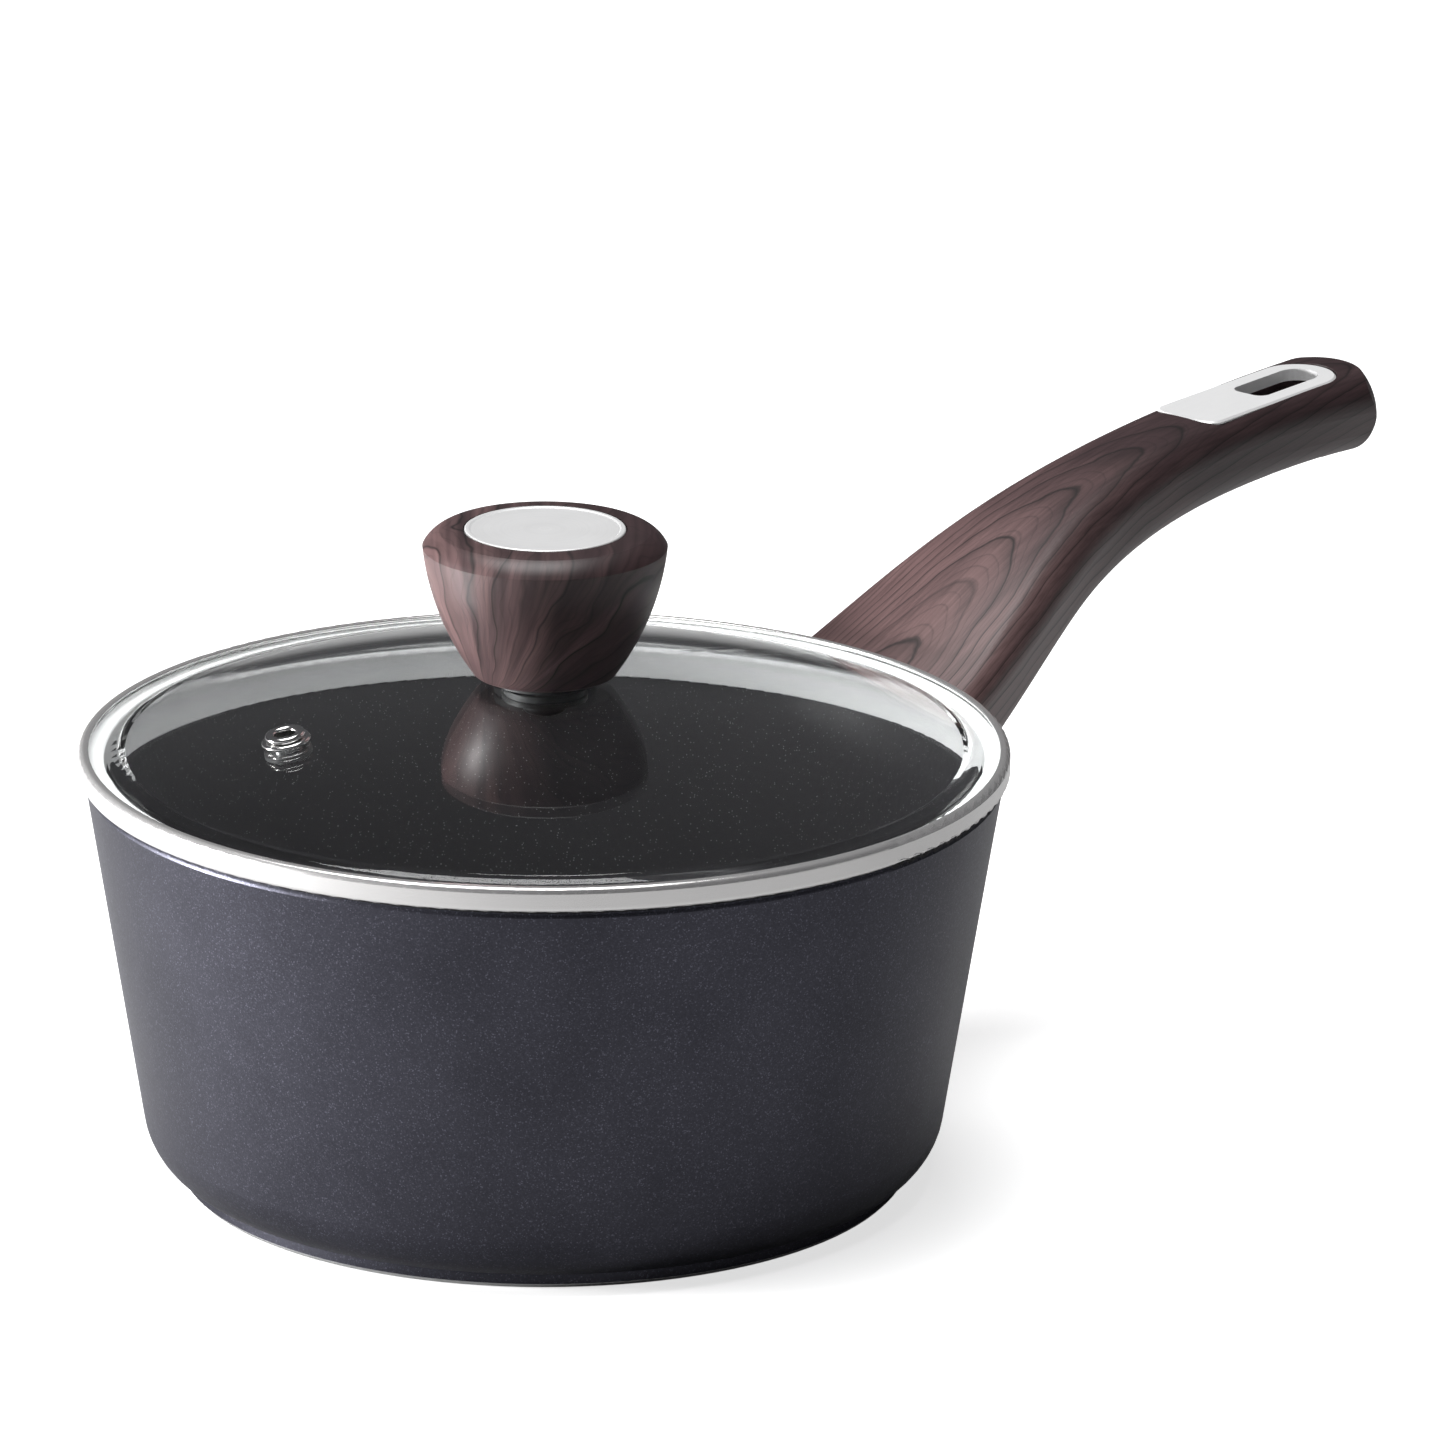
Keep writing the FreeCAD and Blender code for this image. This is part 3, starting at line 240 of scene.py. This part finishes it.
def mix_number(tree, factor, first, second):
    node = tree.nodes.new("ShaderNodeMix")
    node.data_type = "FLOAT"
    feed(tree, node.inputs["Factor"], factor)
    feed(tree, node.inputs[2], first)
    feed(tree, node.inputs[3], second)
    return node.outputs[0]


def bump(tree, height, strength, depth_mm):
    node = tree.nodes.new("ShaderNodeBump")
    node.inputs["Strength"].default_value = strength
    node.inputs["Distance"].default_value = depth_mm / TO_MM
    tree.links.new(height, node.inputs["Height"])
    return node.outputs["Normal"]


def around(tree, vector):
    """The place in a turned piece's section: distance from the axis, and height."""
    x, y, z = split(tree, vector)
    radius = maths(tree, "SQRT", maths(tree, "ADD", maths(tree, "MULTIPLY", x, x),
                                       maths(tree, "MULTIPLY", y, y)))
    return radius, z


# ---------------------------------------------------------------- materials

BARE_FOOT_MM = 1.0     # the foot's edge is bare metal up to this height


def dark_coat():
    """Blue-black coat with fine flakes outside, granite coat inside, bare metal at the foot's edge."""
    look, tree, shader = new_material("dark_coat")
    place_mm = object_mm(tree)
    radius, height = around(tree, place_mm)

    normal = object_normal(tree)
    flat = vector_op(tree, "MULTIPLY", place_mm, (1, 1, 0))
    normalise = tree.nodes.new("ShaderNodeVectorMath")
    normalise.operation = "NORMALIZE"
    tree.links.new(flat, normalise.inputs[0])
    outward = vector_op(tree, "DOT_PRODUCT", normal, normalise.outputs[0])
    inside = maths(tree, "GREATER_THAN", maths(tree, "SUBTRACT", split(tree, normal)[2], outward), 0.0)

    flakes = cells(tree, place_mm, 3.6, "Color")
    flake = ramp(tree, split(tree, flakes)[0], [(0.0, 0.8), (0.8, 1.0), (0.94, 1.35), (1.0, 2.2)])
    mottle = ramp(tree, noise(tree, place_mm, 0.05, 4), [(0.3, 0.9), (0.7, 1.1)])
    outer = mix_colour(tree, 1.0, (0.058, 0.058, 0.074), flake, "MULTIPLY")
    outer = mix_colour(tree, 1.0, outer, mottle, "MULTIPLY")

    grit = cells(tree, place_mm, 1.4)
    speck = ramp(tree, grit, [(0.0, 1.0), (0.12, 0.7), (0.22, 0.0)])
    chosen = ramp(tree, split(tree, cells(tree, place_mm, 1.4, "Color"))[1],
                  [(0.55, 0.0), (0.62, 1.0)])
    speck = maths(tree, "MULTIPLY", speck, chosen)
    inner = mix_colour(tree, speck, (0.026, 0.025, 0.027), (0.26, 0.26, 0.27))
    coat = mix_colour(tree, inside, outer, inner)

    bare = maths(tree, "LESS_THAN", height, BARE_FOOT_MM)
    turned = noise(tree, join(tree, radius, height, 0.0), 3.0, 3)
    metal = ramp(tree, turned, [(0.3, (0.62, 0.62, 0.63)), (0.7, (0.80, 0.80, 0.80))])
    tree.links.new(mix_colour(tree, bare, coat, metal), shader.inputs["Base Color"])

    shader.inputs["Specular IOR Level"].default_value = 0.25
    metallic = mix_number(tree, inside, 0.85, 0.1)
    tree.links.new(mix_number(tree, bare, metallic, 1.0), shader.inputs["Metallic"])
    outer_rough = maths(tree, "MULTIPLY_ADD", noise(tree, place_mm, 1.2, 3), 0.10, 0.34)
    inner_rough = maths(tree, "MULTIPLY_ADD", noise(tree, place_mm, 0.8, 2), 0.14, 0.26)
    rough = mix_number(tree, inside, outer_rough, inner_rough)
    tree.links.new(mix_number(tree, bare, rough, 0.28), shader.inputs["Roughness"])

    fine = noise(tree, place_mm, 2.2, 3)
    peel = noise(tree, place_mm, 0.65, 2)
    relief = mix_number(tree, inside, maths(tree, "MULTIPLY", fine, 0.35), peel)
    tree.links.new(bump(tree, relief, 0.5, 0.12), shader.inputs["Normal"])
    return look


def brushed_metal(name, dark, light, metallic, rough, along_rings=True):
    """Turned or brushed metal; the marks run round the axis or along the handle."""
    look, tree, shader = new_material(name)
    place_mm = object_mm(tree)
    if along_rings:
        radius, height = around(tree, place_mm)
        marks = join(tree, radius, height, 0.0)
    else:
        marks = vector_op(tree, "MULTIPLY", place_mm, (0.05, 1.0, 1.0))
    lines = noise(tree, marks, 2.0, 4, 0.7)
    cloud = noise(tree, place_mm, 0.12, 3)
    shade = ramp(tree, lines, [(0.25, dark), (0.75, light)])
    shade = mix_colour(tree, 0.25, shade, ramp(tree, cloud, [(0.3, dark), (0.7, light)]))
    tree.links.new(shade, shader.inputs["Base Color"])
    shader.inputs["Metallic"].default_value = metallic
    uneven = maths(tree, "ADD", maths(tree, "MULTIPLY", lines, 0.10),
                   maths(tree, "MULTIPLY_ADD", cloud, 0.06, rough - 0.08))
    tree.links.new(uneven, shader.inputs["Roughness"])
    tree.links.new(bump(tree, lines, 0.5, 0.02), shader.inputs["Normal"])
    return look


# the band's sheet and the depth of its lip, which part its outside from its seat
BAND_SHEET_MM = 0.5
BAND_LIP_MM = 0.9


def rolled_band():
    """Steel band: bright on the rolled outside, satin on the seat and skirt under the glass, which carry
    a painted sheen of near-white.
    """
    look, tree, shader = new_material("rolled_band")
    place_mm = object_mm(tree)
    radius, height = around(tree, place_mm)
    lines = noise(tree, join(tree, radius, height, 0.0), 4.0, 4, 0.7)
    cloud = noise(tree, place_mm, 0.08, 3)
    shade = ramp(tree, lines, [(0.25, (0.76, 0.75, 0.745)), (0.75, (0.86, 0.85, 0.845))])
    band_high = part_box("rim_band")[1]
    seat_radius = band_high.x * TO_MM - BAND_SHEET_MM
    within = maths(tree, "LESS_THAN", radius, seat_radius)
    under = maths(tree, "LESS_THAN", height, band_high.z * TO_MM - BAND_LIP_MM)
    inner = maths(tree, "MULTIPLY", within, under)
    # painted sheen: the seat and skirt are steel like the outside, painted near-white and made
    # non-metallic to stand in for the light they catch from above
    shade = mix_colour(tree, maths(tree, "MULTIPLY", inner, 0.8), shade, (0.97, 0.97, 0.97))
    tree.links.new(shade, shader.inputs["Base Color"])
    tree.links.new(mix_number(tree, inner, 0.75, 0.0), shader.inputs["Metallic"])
    bright = maths(tree, "MULTIPLY_ADD", cloud, 0.08, 0.20)
    tree.links.new(mix_number(tree, inner, bright, 0.5), shader.inputs["Roughness"])
    tree.links.new(bump(tree, lines, 0.3, 0.01), shader.inputs["Normal"])
    return look


def wood_rings(tree, reach, spacing):
    """Darkness of walnut's growth lines, one wherever reach passes a multiple of the spacing."""
    phase = maths(tree, "DIVIDE", reach, spacing)
    ring = maths(tree, "FRACT", phase)
    late = ramp(tree, ring, [(0.0, 0.35), (0.06, 0.0), (0.62, 0.06), (0.90, 0.42), (0.955, 1.0),
                             (1.0, 0.55)])
    fine_ring = maths(tree, "FRACT", maths(tree, "MULTIPLY", phase, 3.7))
    fine = ramp(tree, fine_ring, [(0.0, 0.25), (0.1, 0.0), (0.8, 0.1), (0.95, 0.5), (1.0, 0.3)])
    strength = ramp(tree, noise(tree, join(tree, phase, 0.0, 0.0), 0.9, 1), [(0.35, 0.35), (0.6, 1.0)])
    dark = maths(tree, "MULTIPLY", late, strength)
    return maths(tree, "MAXIMUM", dark, maths(tree, "MULTIPLY", fine, 0.55))


def wood_shader(look, tree, shader, dark, fibre, tone):
    """The shared finish: two browns, dark growth lines, fine fibres and a satin skin."""
    body = ramp(tree, tone, [(0.2, (0.046, 0.026, 0.028)), (0.8, (0.205, 0.122, 0.119))])
    streaks = ramp(tree, fibre, [(0.25, 0.62), (0.5, 1.0), (0.75, 1.28)])
    body = mix_colour(tree, 1.0, body, streaks, "MULTIPLY")
    body = mix_colour(tree, maths(tree, "MINIMUM", maths(tree, "MULTIPLY", dark, 1.25), 0.95), body,
                      (0.010, 0.006, 0.006))
    tree.links.new(body, shader.inputs["Base Color"])
    rough = maths(tree, "MULTIPLY_ADD", fibre, 0.12, 0.36)
    tree.links.new(maths(tree, "ADD", rough, maths(tree, "MULTIPLY", dark, 0.08)),
                   shader.inputs["Roughness"])
    relief = maths(tree, "SUBTRACT", maths(tree, "MULTIPLY", fibre, 0.4), dark)
    tree.links.new(bump(tree, relief, 0.25, 0.05), shader.inputs["Normal"])
    return look


# the handle's top line, in millimetres: where it starts at the wall, and its highest point
ROOT_ALONG, ROOT_UP = 98.0, 87.3
TOP_UP = 130.2

# grain of the handle: nested arches a little to one side of the middle
ARCH_SIDE = 5.0
ARCH_CURVE = 0.22
ARCH_SPACING = 20.0
ARCH_DROP = 6.0        # how much faster the lines run down the sides than along the top
PAINTED_LIGHT_LENGTH = 130.0    # painted light: the wood is painted palest at the wall, where the handle's root catches the light, and darkens over this length

# grain of the knob: a fan about a point low on its left, with a line every few degrees
FAN_SIDE, FAN_UP = 12.0, 108.0
FAN_SPACING = 11.0


def handle_top_line(tree, along):
    """Height of the handle's top line at a distance along it, from a few of its points."""
    tip_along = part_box("handle_grip")[1].x * TO_MM
    share = maths(tree, "DIVIDE", maths(tree, "SUBTRACT", along, ROOT_ALONG), tip_along - ROOT_ALONG)
    curve = ramp(tree, share, [(0.0, 0.0), (0.064, 0.116), (0.17, 0.338), (0.276, 0.56),
                               (0.382, 0.737), (0.488, 0.857), (0.594, 0.932), (0.753, 0.988),
                               (1.0, 1.0)])
    return maths(tree, "MULTIPLY_ADD", curve, TOP_UP - ROOT_UP, ROOT_UP)


def handle_wood():
    """Nested arches on the handle's top that point to the tip, and long streaks on its sides."""
    look, tree, shader = new_material("handle_wood")
    place_mm = object_mm(tree)
    x, y, z = split(tree, place_mm)
    drop = maths(tree, "SUBTRACT", handle_top_line(tree, x), z)
    warp = maths(tree, "MULTIPLY_ADD", noise(tree, place_mm, 0.022, 2), 34.0, -17.0)
    ripple = maths(tree, "MULTIPLY_ADD", noise(tree, place_mm, 0.12, 3), 5.0, -2.5)
    offset = maths(tree, "ADD", y, ARCH_SIDE)
    arch = maths(tree, "MULTIPLY", maths(tree, "MULTIPLY", offset, offset), ARCH_CURVE)
    reach = maths(tree, "ADD", maths(tree, "ADD", x, arch), maths(tree, "MULTIPLY", drop, ARCH_DROP))
    reach = maths(tree, "ADD", reach, maths(tree, "ADD", warp, ripple))
    threads = join(tree, maths(tree, "MULTIPLY", x, 0.05), y, drop)
    fibre = noise(tree, threads, 1.1, 5, 0.65)
    dark = wood_rings(tree, reach, ARCH_SPACING)
    broad = noise(tree, join(tree, maths(tree, "MULTIPLY", x, 0.25), y, drop), 0.09, 2)
    # painted light: paler wood towards the wall, standing in for the light that falls on the handle's
    # root
    painted_root_light = ramp(tree, maths(tree, "DIVIDE", maths(tree, "SUBTRACT", x, ROOT_ALONG), PAINTED_LIGHT_LENGTH),
                [(0.0, 0.52), (0.3, 0.34), (0.65, 0.10), (1.0, 0.0)])
    tone = maths(tree, "MULTIPLY_ADD", broad, 0.6, maths(tree, "SUBTRACT", painted_root_light, 0.12))
    return wood_shader(look, tree, shader, dark, fibre, tone)


def knob_wood():
    """Grain that fans out from the foot of the knob."""
    look, tree, shader = new_material("knob_wood")
    place_mm = object_mm(tree)
    across = vector_op(tree, "DOT_PRODUCT", place_mm, tuple(RIGHT))
    height = split(tree, place_mm)[2]
    warp = maths(tree, "MULTIPLY_ADD", noise(tree, place_mm, 0.05, 2), 24.0, -12.0)
    sideways = maths(tree, "ADD", across, FAN_SIDE)
    above = maths(tree, "SUBTRACT", height, FAN_UP)
    angle = maths(tree, "MULTIPLY", maths(tree, "ARCTAN2", above, sideways), 180.0 / math.pi)
    reach = maths(tree, "ADD", angle, warp)
    outward = maths(tree, "SQRT", maths(tree, "ADD", maths(tree, "MULTIPLY", sideways, sideways),
                                        maths(tree, "MULTIPLY", above, above)))
    threads = join(tree, maths(tree, "MULTIPLY", outward, 0.04), maths(tree, "MULTIPLY", angle, 0.5),
                   0.0)
    fibre = noise(tree, threads, 1.0, 5, 0.65)
    dark = wood_rings(tree, reach, FAN_SPACING)
    broad = noise(tree, join(tree, maths(tree, "MULTIPLY", outward, 0.1),
                             maths(tree, "MULTIPLY", angle, 0.5), 0.0), 0.25, 2)
    # painted shade: the knob's wood darkens towards the picture's right, the side turned away from the
    # light
    painted_shade_right = maths(tree, "MULTIPLY", across, 0.006)
    tone = maths(tree, "SUBTRACT", maths(tree, "SUBTRACT", broad, 0.22), painted_shade_right)
    return wood_shader(look, tree, shader, dark, fibre, tone)


def clear_glass():
    """Tempered glass, faintly uneven; rays from lamps pass it, as they do through real glass."""
    look, tree, shader = new_material("clear_glass")
    shader.inputs["Base Color"].default_value = (0.97, 0.98, 0.98, 1.0)
    shader.inputs["Transmission Weight"].default_value = 1.0
    shader.inputs["IOR"].default_value = 1.5
    place_mm = object_mm(tree)
    smear = ramp(tree, noise(tree, place_mm, 0.06, 4), [(0.45, 0.0), (0.8, 0.02)])
    tree.links.new(smear, shader.inputs["Roughness"])
    tree.links.new(bump(tree, noise(tree, place_mm, 0.03, 1), 0.1, 0.1), shader.inputs["Normal"])
    rays = tree.nodes.new("ShaderNodeLightPath")
    through = tree.nodes.new("ShaderNodeBsdfTransparent")
    through.inputs["Color"].default_value = (0.9, 0.91, 0.91, 1.0)
    choose = tree.nodes.new("ShaderNodeMixShader")
    tree.links.new(rays.outputs["Is Shadow Ray"], choose.inputs[0])
    tree.links.new(shader.outputs[0], choose.inputs[1])
    tree.links.new(through.outputs[0], choose.inputs[2])
    tree.links.new(choose.outputs[0], tree.nodes["Material Output"].inputs["Surface"])
    return look


def moulded(name, low, high, rough, grain=0.9):
    """Moulded plastic or rubber with a fine eroded texture."""
    look, tree, shader = new_material(name)
    place_mm = object_mm(tree)
    pits = noise(tree, place_mm, grain, 4)
    tree.links.new(ramp(tree, pits, [(0.3, low), (0.7, high)]), shader.inputs["Base Color"])
    tree.links.new(maths(tree, "MULTIPLY_ADD", pits, 0.15, rough - 0.07), shader.inputs["Roughness"])
    tree.links.new(bump(tree, pits, 0.4, 0.06), shader.inputs["Normal"])
    return look


def dress_nodes():
    """Give every CAD node its material."""
    polished = brushed_metal("polished_steel", (0.72, 0.715, 0.71), (0.82, 0.815, 0.81), 1.0, 0.16)
    satin_disc = brushed_metal("satin_disc", (0.88, 0.88, 0.88), (0.95, 0.95, 0.95), 0.4, 0.45)
    satin_inlay = brushed_metal("satin_inlay", (0.95, 0.95, 0.95), (0.99, 0.99, 0.99), 0.2, 0.38,
                                along_rings=False)
    plated = brushed_metal("plated_steel", (0.52, 0.52, 0.54), (0.66, 0.66, 0.68), 1.0, 0.30)
    blackened = brushed_metal("blackened_steel", (0.012, 0.012, 0.013), (0.03, 0.03, 0.03), 0.6, 0.4)
    looks = {
        "pan_shell": dark_coat(),
        "induction_disc": brushed_metal("base_steel", (0.42, 0.42, 0.43), (0.58, 0.58, 0.58), 1.0, 0.36),
        "handle_bracket": moulded("cast_aluminium", (0.42, 0.42, 0.43), (0.55, 0.55, 0.55), 0.5, 0.5),
        "heat_guard": moulded("black_plastic", (0.006, 0.006, 0.007), (0.014, 0.014, 0.015), 0.5),
        "handle_grip": handle_wood(),
        "handle_insert": satin_inlay,
        "knob_body": knob_wood(),
        "knob_cap": satin_disc,
        "glass_dome": clear_glass(),
        "rim_band": rolled_band(),
        "vent_eyelet": polished,
        "vent_washer": polished,
        "rim_seal": moulded("clear_silicone", (0.30, 0.30, 0.30), (0.36, 0.36, 0.36), 0.35),
        "knob_bush": brushed_metal("brass", (0.60, 0.42, 0.16), (0.74, 0.54, 0.24), 1.0, 0.3),
        "knob_seat": moulded("black_silicone", (0.010, 0.010, 0.011), (0.018, 0.018, 0.019), 0.55),
    }
    for name in ("vent_gasket", "knob_gasket"):
        looks[name] = looks["knob_seat"]
    for name in ("knob_washer", "knob_screw"):
        looks[name] = blackened
    for name in ("handle_screw", "handle_washer", "handle_spring_washer"):
        looks[name] = plated
    for name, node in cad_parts.items():
        node.data.materials.clear()
        node.data.materials.append(looks[name])


make_camera()
make_lights()
make_world()
make_floor()
dress_nodes()
bpy.context.scene.view_settings.view_transform = "Standard"
